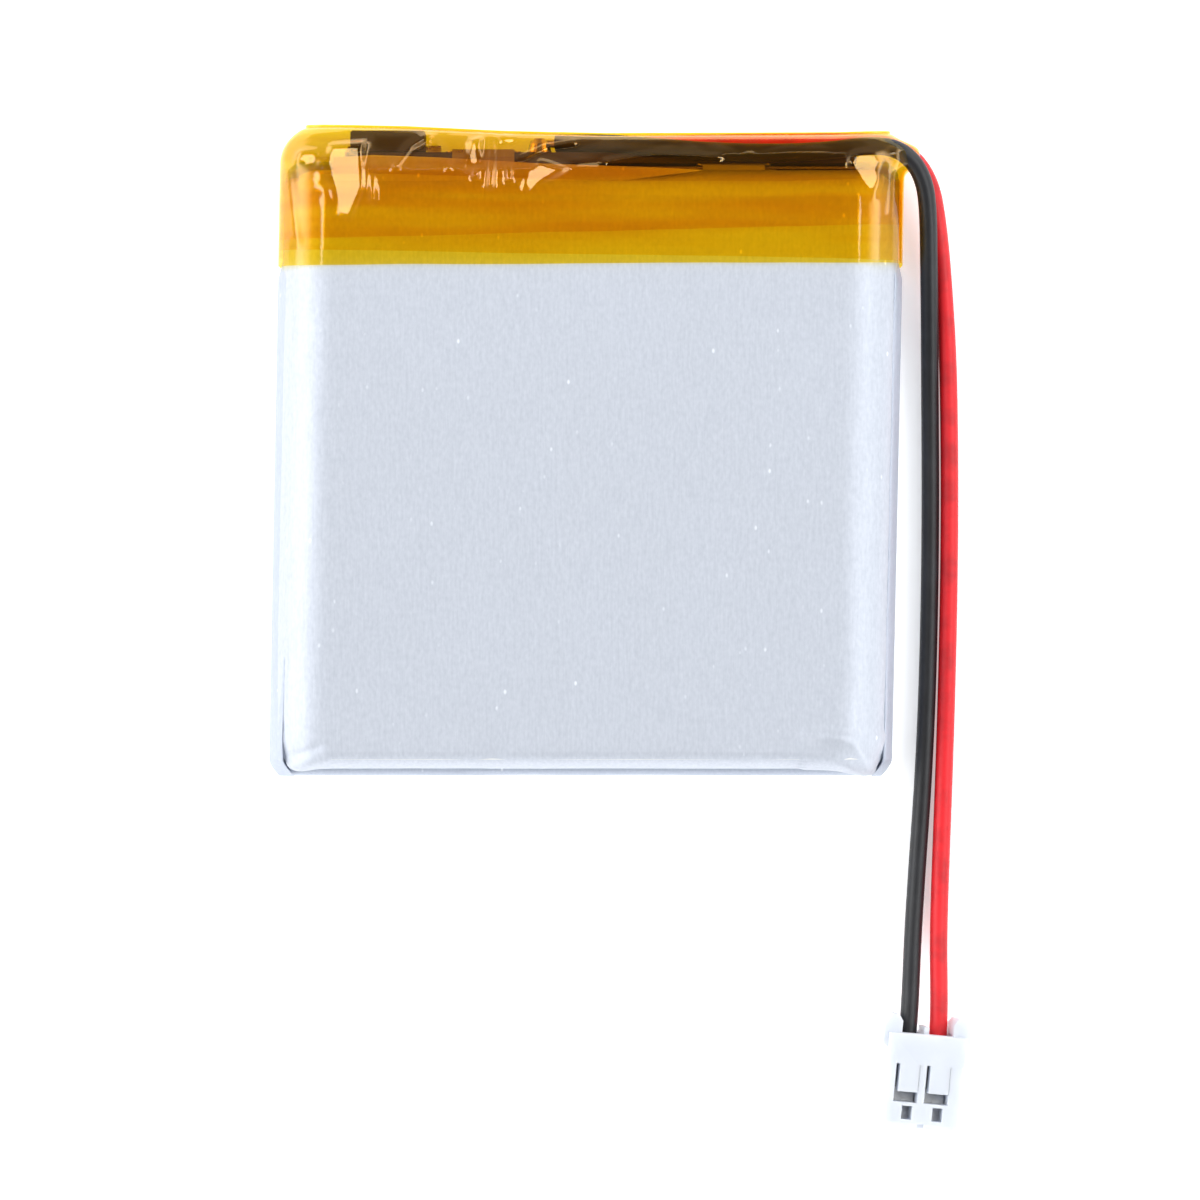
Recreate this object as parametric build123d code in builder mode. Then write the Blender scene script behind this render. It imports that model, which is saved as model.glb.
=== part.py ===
"""Lithium polymer pouch cell with its protection board, taped head, two leads and a crimp plug.

Millimetres. The cell lies on its back: +Z is its drawn front face, +Y its taped head, +X the side
where the leads come out. The origin is the bottom centre of the cell's box, leads and plug left out.
"""

import os
from math import cos, pi, radians, sin, tan

from build123d import *

# ---------------------------------------------------------------- driving dimensions
FILM = 0.12                  # aluminium laminated film
TAPE = 0.06                  # one layer of polyimide tape with its adhesive
TAPE_LAYERS = 3

CELL_BOTTOM = -20.80         # fold at the foot of the cell
HEAD_END = 20.78             # inside of the tape round the head
BACK = TAPE * TAPE_LAYERS    # outer face of the flat back film
FRONT = 5.98                 # outer face of the drawn front
CUP_HALF_WIDTH = 19.55
CUP_END = 17.95              # outer face of the drawn end wall under the tape
CUP_CORNER = 2.0
SHOULDER = 1.6

SEAL_GAP = 0.05              # air between a drawn wall and the seal folded against it
SIDE_SEAL_HEIGHT = 2.40
TERRACE_HEIGHT = 3.22
TERRACE_HALF_WIDTH = 19.2

ROLL_PITCH = 0.35            # one turn of cathode, separator, anode, separator
ROLL_TURNS = 7
ROLL_CORE = 0.25             # radius of the first turn
ROLL_HALF_STRAIGHT = 16.3
ROLL_FOOT = -19.7
ROLL_HEAD = 16.2
CATHODE_THICKNESS = 0.12
ANODE_THICKNESS = 0.13
SEPARATOR_THICKNESS = 0.03
LAYER_GAP = 0.01

TAB_WIDTH = 4.0
TAB_THICKNESS = 0.08
TAB_SEAL_WIDTH = 5.4
TAB_SEAL_THICKNESS = 0.14
NEGATIVE_TAB_X = -6.6
POSITIVE_TAB_X = 9.5

BOARD_LEFT = -15.5
BOARD_RIGHT = 17.4
BOARD_FOOT = 0.70
BOARD_HEIGHT = 3.40
BOARD_THICKNESS = 0.70
PAD_THICKNESS = 0.04

LEAD_DIAMETER = 1.15
STRAND_DIAMETER = 0.52
RED_PAD = (2.70, 1.95)       # x and z of the solder pads, 1.1 behind each lead's insulation
BLACK_PAD = (-3.00, 3.35)

PLUG_PITCH = 2.0
PLUG_WIRE_END = (21.74, -37.40, 2.50)
PLUG_YAW = 5.5               # degrees the plug leans off the leads' line
PLUG_ROLL = 8.0              # degrees its left side is lifted
PLUG_LENGTH = 6.05
PLUG_THICKNESS = 4.30
LEAD_IN_PLUG = 1.90          # insulation inside the plug

# ---------------------------------------------------------------- places worked out from them
SEAL_PLANE_Z = BACK + FILM   # where the two films meet
CAVITY_TOP = FRONT - FILM
ROLL_CENTRE_Z = (SEAL_PLANE_Z + CAVITY_TOP) / 2
CUP_LENGTH = CUP_END - CELL_BOTTOM
CUP_MID_Y = (CUP_END + CELL_BOTTOM) / 2
SIDE_SEAL_INNER = CUP_HALF_WIDTH + SEAL_GAP
SIDE_SEAL_MIDDLE = SIDE_SEAL_INNER + FILM
SIDE_SEAL_OUTER = SIDE_SEAL_MIDDLE + FILM
SIDE_SEAL_FOOT = CELL_BOTTOM + 0.40
SIDE_SEAL_HEAD = CUP_END - 0.35
TERRACE_INNER = CUP_END + SEAL_GAP
TERRACE_MIDDLE = TERRACE_INNER + FILM
TERRACE_OUTER = TERRACE_MIDDLE + FILM
TERRACE_TOP = BACK + TERRACE_HEIGHT
PAPER_FACE = TERRACE_OUTER + 0.02
PAPER_THICKNESS = 0.12
TAB_LEG_FACE = PAPER_FACE + PAPER_THICKNESS + 0.02
WELD_PLATE_FACE = TAB_LEG_FACE + TAB_THICKNESS
WELD_PLATE_THICKNESS = 0.10
BOARD_BACK = WELD_PLATE_FACE + WELD_PLATE_THICKNESS
BOARD_FACE = BOARD_BACK + BOARD_THICKNESS
BOARD_MID_Z = BOARD_FOOT + BOARD_HEIGHT / 2

# ---------------------------------------------------------------- routes of the two leads
RED_ROUTE = [
    (3.80, 19.88, 1.95), (6.50, 19.93, 2.45), (9.50, 19.96, 3.05), (12.80, 19.95, 3.32),
    (15.90, 19.98, 3.38), (18.20, 19.97, 3.36), (20.00, 19.70, 3.30), (21.35, 18.75, 3.10),
    (22.25, 17.20, 2.75), (22.65, 15.20, 2.10), (22.95, 12.90, 1.40), (23.20, 10.00, 0.85),
    (23.42, 6.60, 0.60), (23.52, 2.80, 0.58), (23.56, -3.00, 0.59), (23.50, -9.40, 0.58),
    (23.34, -16.20, 0.59), (23.14, -22.20, 0.58), (22.94, -27.40, 0.62), (22.80, -31.60, 1.00),
    (22.80, -35.30, 2.10), (22.72, -37.55, 2.36), (22.54, -39.39, 2.36),
]
BLACK_ROUTE = [
    (-1.90, 19.88, 3.35), (0.90, 19.90, 4.10), (4.20, 19.60, 4.70), (8.00, 19.28, 4.78),
    (12.20, 19.18, 4.77), (15.80, 19.34, 4.78), (18.20, 19.70, 4.72), (19.90, 19.53, 4.62),
    (21.10, 18.62, 4.44),
    (21.80, 17.20, 4.10), (22.02, 15.30, 3.45), (22.10, 13.00, 2.60), (22.18, 10.20, 1.75),
    (22.24, 6.80, 1.05), (22.28, 3.00, 0.66), (22.32, -2.60, 0.58), (22.27, -9.00, 0.59),
    (22.10, -15.80, 0.58), (21.82, -21.60, 0.59), (21.45, -26.80, 0.62), (21.15, -31.20, 1.05),
    (20.93, -35.05, 2.35), (20.76, -37.25, 2.64), (20.57, -39.20, 2.64),
]

PLUG_PLANE = Plane(
    origin=PLUG_WIRE_END,
    x_dir=(
        cos(radians(PLUG_YAW)) * cos(radians(PLUG_ROLL)),
        -sin(radians(PLUG_YAW)) * cos(radians(PLUG_ROLL)),
        -sin(radians(PLUG_ROLL)),
    ),
    z_dir=(
        cos(radians(PLUG_YAW)) * sin(radians(PLUG_ROLL)),
        -sin(radians(PLUG_YAW)) * sin(radians(PLUG_ROLL)),
        cos(radians(PLUG_ROLL)),
    ),
)


def block(x_low, x_high, y_low, y_high, z_low, z_high, mode=Mode.ADD):
    """A box between two corners, joined to the part being built."""
    with Locations(((x_low + x_high) / 2, (y_low + y_high) / 2, (z_low + z_high) / 2)):
        Box(x_high - x_low, y_high - y_low, z_high - z_low, mode=mode)


def plug_block(x_low, x_high, y_low, y_high, z_low, z_high, mode=Mode.ADD):
    """The same, in the plug's own frame: +x across its ways, +y to the wire end, +z to its windows."""
    corner = PLUG_PLANE.offset((z_low + z_high) / 2)
    with Locations(corner.location):
        with Locations(((x_low + x_high) / 2, (y_low + y_high) / 2, 0)):
            Box(x_high - x_low, y_high - y_low, z_high - z_low, mode=mode)


# ---------------------------------------------------------------- pouch: drawn front half
def drawn_form(inset):
    """The drawn half's rounded form, shrunk by inset on its walls and its face."""
    with BuildPart() as form:
        with BuildSketch(Plane.XY.offset(SEAL_PLANE_Z)):
            with Locations((0, CUP_MID_Y)):
                RectangleRounded(
                    2 * (CUP_HALF_WIDTH - inset), CUP_LENGTH - 2 * inset, CUP_CORNER - inset
                )
        extrude(amount=FRONT - inset - SEAL_PLANE_Z)
        fillet(form.faces().sort_by(Axis.Z)[-1].edges(), SHOULDER - inset)
    return form.part


def tab_strip(x, width, thickness, points):
    """A band of constant thickness along a bent line in the YZ plane."""
    with BuildPart() as strip:
        with BuildSketch(Plane.YZ.offset(x - width / 2)):
            with BuildLine():
                Polyline(*points)
            trace(line_width=thickness)
        extrude(amount=width)
    return strip.part


TAB_SEAL_LINE = [
    (CUP_END - 0.60, SEAL_PLANE_Z),
    (TERRACE_MIDDLE, SEAL_PLANE_Z),
    (TERRACE_MIDDLE, TERRACE_TOP + 0.25),
]
seal_bands = [
    tab_strip(x, TAB_SEAL_WIDTH, TAB_SEAL_THICKNESS, TAB_SEAL_LINE)
    for x in (NEGATIVE_TAB_X, POSITIVE_TAB_X)
]

with BuildPart() as pouch_front:
    add(drawn_form(0))
    add(drawn_form(FILM), mode=Mode.SUBTRACT)
    for side in (-1, 1):
        outer = side * SIDE_SEAL_MIDDLE
        foot = side * (CUP_HALF_WIDTH - FILM)
        wall = side * SIDE_SEAL_INNER
        block(min(foot, outer), max(foot, outer), SIDE_SEAL_FOOT + CUP_CORNER,
              SIDE_SEAL_HEAD - CUP_CORNER, SEAL_PLANE_Z, SEAL_PLANE_Z + FILM)
        block(min(wall, outer), max(wall, outer), SIDE_SEAL_FOOT, SIDE_SEAL_HEAD,
              SEAL_PLANE_Z, BACK + SIDE_SEAL_HEIGHT)
    block(CUP_CORNER - CUP_HALF_WIDTH, CUP_HALF_WIDTH - CUP_CORNER, CUP_END - FILM, TERRACE_MIDDLE,
          SEAL_PLANE_Z, SEAL_PLANE_Z + FILM)
    block(-TERRACE_HALF_WIDTH, TERRACE_HALF_WIDTH, TERRACE_INNER, TERRACE_MIDDLE,
          SEAL_PLANE_Z, TERRACE_TOP)
    add(seal_bands, mode=Mode.SUBTRACT)
pouch_front.part.label = "pouch_front"

# ---------------------------------------------------------------- pouch: flat back half
with BuildPart() as pouch_back:
    with BuildSketch(Plane.XY.offset(BACK)):
        with Locations((0, CUP_MID_Y)):
            RectangleRounded(2 * CUP_HALF_WIDTH, CUP_LENGTH, CUP_CORNER)
        with Locations((0, (SIDE_SEAL_FOOT + SIDE_SEAL_HEAD) / 2)):
            Rectangle(2 * SIDE_SEAL_OUTER, SIDE_SEAL_HEAD - SIDE_SEAL_FOOT)
        with Locations((0, (CUP_MID_Y + TERRACE_OUTER) / 2)):
            Rectangle(2 * TERRACE_HALF_WIDTH, TERRACE_OUTER - CUP_MID_Y)
    extrude(amount=FILM)
    for side in (-1, 1):
        inner = side * SIDE_SEAL_MIDDLE
        outer = side * SIDE_SEAL_OUTER
        block(min(inner, outer), max(inner, outer), SIDE_SEAL_FOOT, SIDE_SEAL_HEAD,
              BACK, BACK + SIDE_SEAL_HEIGHT)
    block(-TERRACE_HALF_WIDTH, TERRACE_HALF_WIDTH, TERRACE_MIDDLE, TERRACE_OUTER, BACK, TERRACE_TOP)
    add(seal_bands, mode=Mode.SUBTRACT)
pouch_back.part.label = "pouch_back"


# ---------------------------------------------------------------- wound electrode roll
def wound_side(offset, lead_in):
    """One face of a wound sheet: arcs round the two ends joined by straights, in roll axes."""
    half = ROLL_HALF_STRAIGHT
    if lead_in:
        Line((-half, -(ROLL_CORE + offset)), (half, -(ROLL_CORE + offset)))
    for turn in range(ROLL_TURNS):
        radius = ROLL_CORE + turn * ROLL_PITCH + offset
        ThreePointArc((half, -radius), (half + radius, 0), (half, radius))
        Line((half, radius), (-half, radius))
        if turn < ROLL_TURNS - 1:
            bottom = -(radius + ROLL_PITCH)
            ThreePointArc(
                (-half, radius), (-half - radius - ROLL_PITCH / 2, -ROLL_PITCH / 2), (-half, bottom)
            )
            Line((-half, bottom), (half, bottom))


def wound_sheet(offset, thickness, foot, head, lead_in=False):
    """A sheet wound flat round the core, its two faces at offset and offset + thickness."""
    half = ROLL_HALF_STRAIGHT
    inner_end = ROLL_CORE + (ROLL_TURNS - 1) * ROLL_PITCH + offset
    start_x = -half if lead_in else half
    start_z = -(ROLL_CORE + offset)
    with BuildPart() as sheet:
        with BuildSketch(Plane((0, foot, ROLL_CENTRE_Z), x_dir=(1, 0, 0), z_dir=(0, -1, 0))):
            with BuildLine():
                wound_side(offset, lead_in)
                wound_side(offset + thickness, lead_in)
                Line((start_x, start_z), (start_x, start_z - thickness))
                Line((-half, inner_end), (-half, inner_end + thickness))
            make_face()
        extrude(amount=-(head - foot))
    return sheet.part


separator_offset = CATHODE_THICKNESS + LAYER_GAP
anode_offset = separator_offset + SEPARATOR_THICKNESS + LAYER_GAP
outer_separator_offset = anode_offset + ANODE_THICKNESS + LAYER_GAP

cathode_sheet = wound_sheet(0, CATHODE_THICKNESS, ROLL_FOOT + 0.7, ROLL_HEAD - 0.7)
cathode_sheet.label = "cathode_sheet"
separator_inner = wound_sheet(separator_offset, SEPARATOR_THICKNESS, ROLL_FOOT, ROLL_HEAD)
separator_inner.label = "separator_inner"
anode_sheet = wound_sheet(anode_offset, ANODE_THICKNESS, ROLL_FOOT + 0.4, ROLL_HEAD - 0.4, True)
anode_sheet.label = "anode_sheet"
separator_outer = wound_sheet(outer_separator_offset, SEPARATOR_THICKNESS, ROLL_FOOT, ROLL_HEAD)
separator_outer.label = "separator_outer"

ROLL_TOP = (
    ROLL_CENTRE_Z + ROLL_CORE + (ROLL_TURNS - 1) * ROLL_PITCH
    + outer_separator_offset + SEPARATOR_THICKNESS
)
with BuildPart() as roll_end_tape:
    block(-ROLL_HALF_STRAIGHT, -ROLL_HALF_STRAIGHT + 12, -16, 12, ROLL_TOP, ROLL_TOP + 0.04)
roll_end_tape.part.label = "roll_end_tape"


# ---------------------------------------------------------------- tabs and their seals
def tab_line(weld_z, over_z, leg_y, leg_foot):
    """From the weld on the electrode, through the head seal, over its edge and down to the board."""
    return [
        (6.0, weld_z), (ROLL_HEAD + 0.35, weld_z), (CUP_END - 0.45, SEAL_PLANE_Z),
        (TERRACE_MIDDLE, SEAL_PLANE_Z), (TERRACE_MIDDLE, over_z), (leg_y, over_z),
        (leg_y, leg_foot),
    ]


POSITIVE_WELD_Z = ROLL_CENTRE_Z + ROLL_CORE - TAB_THICKNESS / 2
NEGATIVE_WELD_Z = ROLL_CENTRE_Z - ROLL_CORE - anode_offset + TAB_THICKNESS / 2

# the positive tab is welded behind the board, the negative one is folded over its upper edge
positive_line = tab_line(
    POSITIVE_WELD_Z, TERRACE_TOP + 0.35, TAB_LEG_FACE + TAB_THICKNESS / 2, BOARD_FOOT + 0.6
)
negative_line = tab_line(
    NEGATIVE_WELD_Z, BOARD_FOOT + BOARD_HEIGHT + 0.02 + TAB_THICKNESS / 2,
    BOARD_FACE + WELD_PLATE_THICKNESS + TAB_THICKNESS / 2, BOARD_FOOT + 1.0,
)
tab_positive = tab_strip(POSITIVE_TAB_X, TAB_WIDTH, TAB_THICKNESS, positive_line)
tab_positive.label = "tab_positive"
tab_negative = tab_strip(NEGATIVE_TAB_X, TAB_WIDTH, TAB_THICKNESS, negative_line)
tab_negative.label = "tab_negative"

with BuildPart() as tab_seal_positive:
    add(seal_bands[1])
    add(tab_positive, mode=Mode.SUBTRACT)
tab_seal_positive.part.label = "tab_seal_positive"

with BuildPart() as tab_seal_negative:
    add(seal_bands[0])
    add(tab_negative, mode=Mode.SUBTRACT)
tab_seal_negative.part.label = "tab_seal_negative"

# ---------------------------------------------------------------- protection board on its edge
with BuildPart() as board_insulator:
    block(BOARD_LEFT - 0.5, BOARD_RIGHT + 0.5, PAPER_FACE, PAPER_FACE + PAPER_THICKNESS,
          BOARD_FOOT - 0.2, TERRACE_TOP + 0.15)
board_insulator.part.label = "board_insulator"

with BuildPart() as circuit_board:
    block(BOARD_LEFT, BOARD_RIGHT, BOARD_BACK, BOARD_FACE, BOARD_FOOT, BOARD_FOOT + BOARD_HEIGHT)
    fillet(circuit_board.edges().filter_by(Axis.Y), 0.3)
circuit_board.part.label = "circuit_board"


def weld_plate(x, face):
    """Nickel plate soldered on the board, where a tab is welded."""
    with BuildPart() as plate:
        block(x - 2.4, x + 2.4, face, face + WELD_PLATE_THICKNESS, BOARD_FOOT + 0.4, BOARD_FOOT + 3.0)
        fillet(plate.edges().filter_by(Axis.Y), 0.3)
    return plate.part


weld_plate_positive = weld_plate(POSITIVE_TAB_X, WELD_PLATE_FACE)
weld_plate_positive.label = "weld_plate_positive"
weld_plate_negative = weld_plate(NEGATIVE_TAB_X, BOARD_FACE)
weld_plate_negative.label = "weld_plate_negative"

PAD_FACE = BOARD_FACE + PAD_THICKNESS
SWITCH_X = -12.75
IC_X = -0.40
IC_Z = 1.85
CHIPS = [(-9.75, 2.4, "resistor"), (-3.0, 1.7, "capacitor"), (1.3, 1.7, "resistor")]


def on_board(x_low, x_high, z_low, z_high, start, height, mode=Mode.ADD):
    """A block that stands on the board's outer face between two heights above that face."""
    block(x_low, x_high, BOARD_FACE + start, BOARD_FACE + start + height, z_low, z_high, mode)


with BuildPart() as board_pads:
    for pad_x, pad_z in (RED_PAD, BLACK_PAD):
        on_board(pad_x - 0.8, pad_x + 0.8, pad_z - 0.6, pad_z + 0.6, 0, PAD_THICKNESS)
    for chip_x, chip_z, _ in CHIPS:
        for end_z in (chip_z - 0.65, chip_z + 0.65):
            on_board(chip_x - 0.45, chip_x + 0.45, end_z - 0.3, end_z + 0.3, 0, PAD_THICKNESS)
board_pads.part.label = "board_pads"


def gull_wing_pin(reach, width, lift):
    """A pin that comes straight out of a package and steps down to the board, in the YZ plane."""
    with BuildPart() as pin:
        with BuildSketch(Plane.YZ.offset(-width / 2)):
            with BuildLine():
                Polyline((0, lift), (reach * 0.35, lift), (reach * 0.6, 0.06), (reach, 0.06))
            trace(line_width=0.12)
        extrude(amount=width)
    return pin.part


def package_pins(x, z, spots, half_width, reach, width, lift, along_x):
    """Both rows of a package's pins, stood on the board's outer face."""
    pins = []
    for side in (-1, 1):
        for spot in spots:
            if along_x:
                place = Plane((x + side * half_width, BOARD_FACE, z + spot),
                              x_dir=(0, 0, side), z_dir=(0, 1, 0))
            else:
                place = Plane((x + spot, BOARD_FACE, z + side * half_width),
                              x_dir=(-side, 0, 0), z_dir=(0, 1, 0))
            pins.append(place.location * gull_wing_pin(reach, width, lift))
    return pins


with BuildPart() as power_switch:
    on_board(SWITCH_X - 2.4, SWITCH_X + 2.4, BOARD_MID_Z - 1.5, BOARD_MID_Z + 1.5, 0.08, 1.34)
    chamfer(power_switch.faces().sort_by(Axis.Y)[-1].edges(), 0.12)
power_switch.part.label = "power_switch"

with BuildPart() as power_switch_pins:
    add(package_pins(SWITCH_X, BOARD_MID_Z, (-0.975, -0.325, 0.325, 0.975), 2.4, 0.34, 0.24, 0.35,
                     along_x=True))
power_switch_pins.part.label = "power_switch_pins"

with BuildPart() as protection_ic:
    on_board(IC_X - 1.0, IC_X + 1.0, IC_Z - 0.6, IC_Z + 0.6, 0.08, 0.92)
    chamfer(protection_ic.faces().sort_by(Axis.Y)[-1].edges(), 0.12)
protection_ic.part.label = "protection_ic"

with BuildPart() as protection_ic_pins:
    add(package_pins(IC_X, IC_Z, (-0.65, 0, 0.65), 0.6, 0.45, 0.32, 0.45, along_x=False))
protection_ic_pins.part.label = "protection_ic_pins"


def chip_bodies(kind, height):
    """The ceramic middles of the two-ended chips of one kind."""
    with BuildPart() as bodies:
        for chip_x, chip_z, chip_kind in CHIPS:
            if chip_kind == kind:
                on_board(chip_x - 0.4, chip_x + 0.4, chip_z - 0.5, chip_z + 0.5,
                         PAD_THICKNESS, height)
    return bodies.part


chip_resistors = chip_bodies("resistor", 0.45)
chip_resistors.label = "chip_resistors"
chip_capacitor = chip_bodies("capacitor", 0.78)
chip_capacitor.label = "chip_capacitor"

with BuildPart() as chip_terminals:
    for chip_x, chip_z, chip_kind in CHIPS:
        height = 0.45 if chip_kind == "resistor" else 0.78
        for end_z in (chip_z - 0.65, chip_z + 0.65):
            on_board(chip_x - 0.4, chip_x + 0.4, end_z - 0.15, end_z + 0.15, PAD_THICKNESS, height)
chip_terminals.part.label = "chip_terminals"


# ---------------------------------------------------------------- leads
def corner_radii(route):
    """For each corner, the largest arc its two runs allow: 0.45 of the shorter, over tan(turn / 2)."""
    radii = []
    for before, corner, after in zip(route, route[1:], route[2:]):
        run_in = Vector(corner) - Vector(before)
        run_out = Vector(after) - Vector(corner)
        half_turn = radians(run_in.get_angle(run_out)) / 2
        radii.append(0.45 * min(run_in.length, run_out.length) / tan(half_turn))
    return radii


def lead_tube(route, label):
    """The insulated lead: a round tube along straight runs joined by tangent arcs."""
    radii = corner_radii(route)
    with BuildPart() as tube:
        with BuildLine() as path:
            FilletPolyline(*route, radius=radii)
        with BuildSketch(Plane(origin=path.line @ 0, z_dir=path.line % 0)):
            Circle(LEAD_DIAMETER / 2)
        sweep()
    length = path.wires()[0].length
    section = pi * LEAD_DIAMETER ** 2 / 4
    print(label, "length", round(length, 2), "tube volume / (section x length)",
          round(tube.part.volume / (section * length), 4))
    print(label, "radii", [round(radius, 1) for radius in radii])
    tube.part.label = label
    return tube.part


lead_red = lead_tube(RED_ROUTE, "lead_red")
lead_black = lead_tube(BLACK_ROUTE, "lead_black")


def bare_strands(end_point, inner_point, length):
    """Tinned strands that stick out past the insulation, in line with the lead's last run."""
    outwards = (Vector(end_point) - Vector(inner_point)).normalized()
    with BuildPart() as strands:
        with BuildSketch(Plane(origin=end_point, z_dir=outwards)):
            Circle(STRAND_DIAMETER / 2)
        extrude(amount=length)
    return strands.part


board_stubs = [bare_strands(route[0], route[1], 1.7) for route in (RED_ROUTE, BLACK_ROUTE)]
with BuildPart() as strands_board_end:
    add(board_stubs)
strands_board_end.part.label = "strands_board_end"

plug_stubs = [bare_strands(route[-1], route[-2], 1.5) for route in (RED_ROUTE, BLACK_ROUTE)]
with BuildPart() as strands_plug_end:
    add(plug_stubs)
strands_plug_end.part.label = "strands_plug_end"

with BuildPart() as solder_joints:
    for pad_x, pad_z in (RED_PAD, BLACK_PAD):
        for height, half_length, half_width in ((0, 0.78, 0.58), (0.55, 0.66, 0.50), (0.90, 0.30, 0.20)):
            face = Plane((pad_x, PAD_FACE + height, pad_z), x_dir=(1, 0, 0), z_dir=(0, 1, 0))
            with BuildSketch(face):
                Ellipse(half_length, half_width)
        loft(ruled=True)
    add(board_stubs, mode=Mode.SUBTRACT)
solder_joints.part.label = "solder_joints"

# ---------------------------------------------------------------- crimp contacts in the plug
WAYS = (-PLUG_PITCH / 2, PLUG_PITCH / 2)
CONTACT_METAL = 0.15


def crimp_contact(x):
    """Folded contact: floor strip, insulation crimp, strand crimp and the box that takes a pin."""
    barrel = Plane(
        origin=PLUG_PLANE.origin, x_dir=PLUG_PLANE.x_dir, z_dir=PLUG_PLANE.y_dir * -1
    )
    with BuildPart() as contact:
        plug_block(x - 0.42, x + 0.42, -5.6, -0.35, -0.75, -0.60)
        plug_block(x - 0.30, x + 0.30, -3.2, -2.2, -0.70, -0.30)
        plug_block(x - 0.65, x + 0.65, -5.6, -3.55, -0.75, 0.60)
        plug_block(x - 0.50, x + 0.50, -5.6, -3.55, -0.60, 0.45, mode=Mode.SUBTRACT)
        plug_block(x - 0.18, x + 0.18, -4.9, -4.3, 0.40, 0.72)
        with BuildSketch(barrel.offset(0.35)):
            with Locations((x, 0)):
                Circle(0.74)
        extrude(amount=1.15)
        with BuildSketch(barrel.offset(2.2)):
            with Locations((x, 0)):
                Circle(0.44)
        extrude(amount=1.0)
        with BuildSketch(barrel):
            with Locations((x, 0)):
                Circle(LEAD_DIAMETER / 2 + 0.02)
        extrude(amount=LEAD_IN_PLUG + 0.05, mode=Mode.SUBTRACT)
        with BuildSketch(barrel):
            with Locations((x, 0)):
                Circle(STRAND_DIAMETER / 2 + 0.02)
        extrude(amount=3.5, mode=Mode.SUBTRACT)
    return contact.part


contact_negative = crimp_contact(WAYS[0])
contact_negative.label = "contact_negative"
contact_positive = crimp_contact(WAYS[1])
contact_positive.label = "contact_positive"

# ---------------------------------------------------------------- plug housing
HALF_THICK = PLUG_THICKNESS / 2
EAR_OUTLINE = [
    (2.30, -1.25), (2.86, -0.75), (2.86, 0.35), (2.40, 1.15), (1.95, 1.15), (1.68, 0.75),
    (1.68, 0.0), (2.30, 0.0),
]

with BuildPart() as plug_housing:
    plug_block(-2.52, 2.52, -1.90, 0, -HALF_THICK, HALF_THICK)
    plug_block(-2.40, 2.40, -PLUG_LENGTH, -1.90, -HALF_THICK, HALF_THICK)
    chamfer(
        plug_housing.faces().filter_by(lambda f: abs(f.normal_at().dot(PLUG_PLANE.y_dir)) > 0.99)
        .sort_by(lambda f: PLUG_PLANE.to_local_coords(f.center()).Y)[0].edges(),
        0.30,
    )
    for side in (-1, 1):
        with BuildSketch(PLUG_PLANE.offset(-0.9)):
            with BuildLine():
                Polyline(*[(side * x, y) for x, y in EAR_OUTLINE], close=True)
            make_face()
        extrude(amount=2.5)
    plug_block(-0.16, 0.16, -0.1, 0.45, -0.9, 1.2)
    for way in WAYS:
        # contact cavity, wire entry and pin hole
        plug_block(way - 0.78, way + 0.78, -5.70, 0.10, -0.78, 1.05, mode=Mode.SUBTRACT)
        plug_block(way - 0.40, way + 0.40, -PLUG_LENGTH - 0.1, -5.60, -0.40, 0.40, mode=Mode.SUBTRACT)
        # window with the locking lance left standing in it
        plug_block(way - 0.95, way + 0.62, -4.40, -1.95, 1.0, HALF_THICK + 0.1, mode=Mode.SUBTRACT)
        plug_block(way - 0.70, way + 0.60, -3.72, -1.90, 1.45, HALF_THICK)
        plug_block(way - 0.45, way + 0.35, -3.72, -3.30, 1.10, 1.50)
        # inspection slot over the contact's box
        plug_block(way - 0.34, way + 0.34, -5.50, -4.62, 1.0, HALF_THICK + 0.1, mode=Mode.SUBTRACT)
    plug_block(-0.25, 0.25, -PLUG_LENGTH - 0.1, -PLUG_LENGTH + 0.30, HALF_THICK - 0.35,
               HALF_THICK + 0.1, mode=Mode.SUBTRACT)
plug_housing.part.label = "plug_housing"

# ---------------------------------------------------------------- polyimide tape round the head
HEAD_PROFILE = [(17.0, FRONT), (19.7, 5.72), (20.70, 4.90), (HEAD_END, 4.40), (HEAD_END, 0.95), (20.0, BACK)]
HEAD_LEFT_CORNER = [(-SIDE_SEAL_OUTER, 18.9), (-17.6, HEAD_END)]
HEAD_RIGHT_CORNER = [(18.5, HEAD_END), (SIDE_SEAL_OUTER, 18.9)]
BELOW_TAPE = 5.0             # the wrapped form runs on below the longest layer
LEAD_MOUTH = (17.6, 22.0, 18.0, 22.0, 2.65, 5.80)


def wrapped_form(layers):
    """What the tape is wound on after so many layers: head profile, side view and plan together."""
    grow = layers * TAPE
    with BuildPart() as form:
        with BuildSketch(Plane.YZ.offset(-25)):
            with BuildLine():
                Polyline((BELOW_TAPE, BACK), (BELOW_TAPE, FRONT), *HEAD_PROFILE, close=True)
            make_face()
            if grow:
                offset(amount=grow, kind=Kind.INTERSECTION)
        extrude(amount=50)
        with BuildSketch(Plane.XZ.offset(-25)) as across:
            with Locations((0, (FRONT + BACK) / 2)):
                Rectangle(2 * (SIDE_SEAL_OUTER + grow), FRONT - BACK + 2 * grow)
            fillet(across.vertices().group_by(Axis.Y)[-1], SHOULDER + 0.3 + grow)
        extrude(amount=25, mode=Mode.INTERSECT)
        with BuildSketch() as plan:
            with BuildLine():
                Polyline(
                    (-SIDE_SEAL_OUTER, 0), *HEAD_LEFT_CORNER, *HEAD_RIGHT_CORNER,
                    (SIDE_SEAL_OUTER, 0), close=True,
                )
            make_face()
            if grow:
                offset(amount=grow, kind=Kind.INTERSECTION)
        extrude(amount=10, both=True, mode=Mode.INTERSECT)
    return form.part


forms = [wrapped_form(layers) for layers in range(TAPE_LAYERS + 1)]


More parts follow.
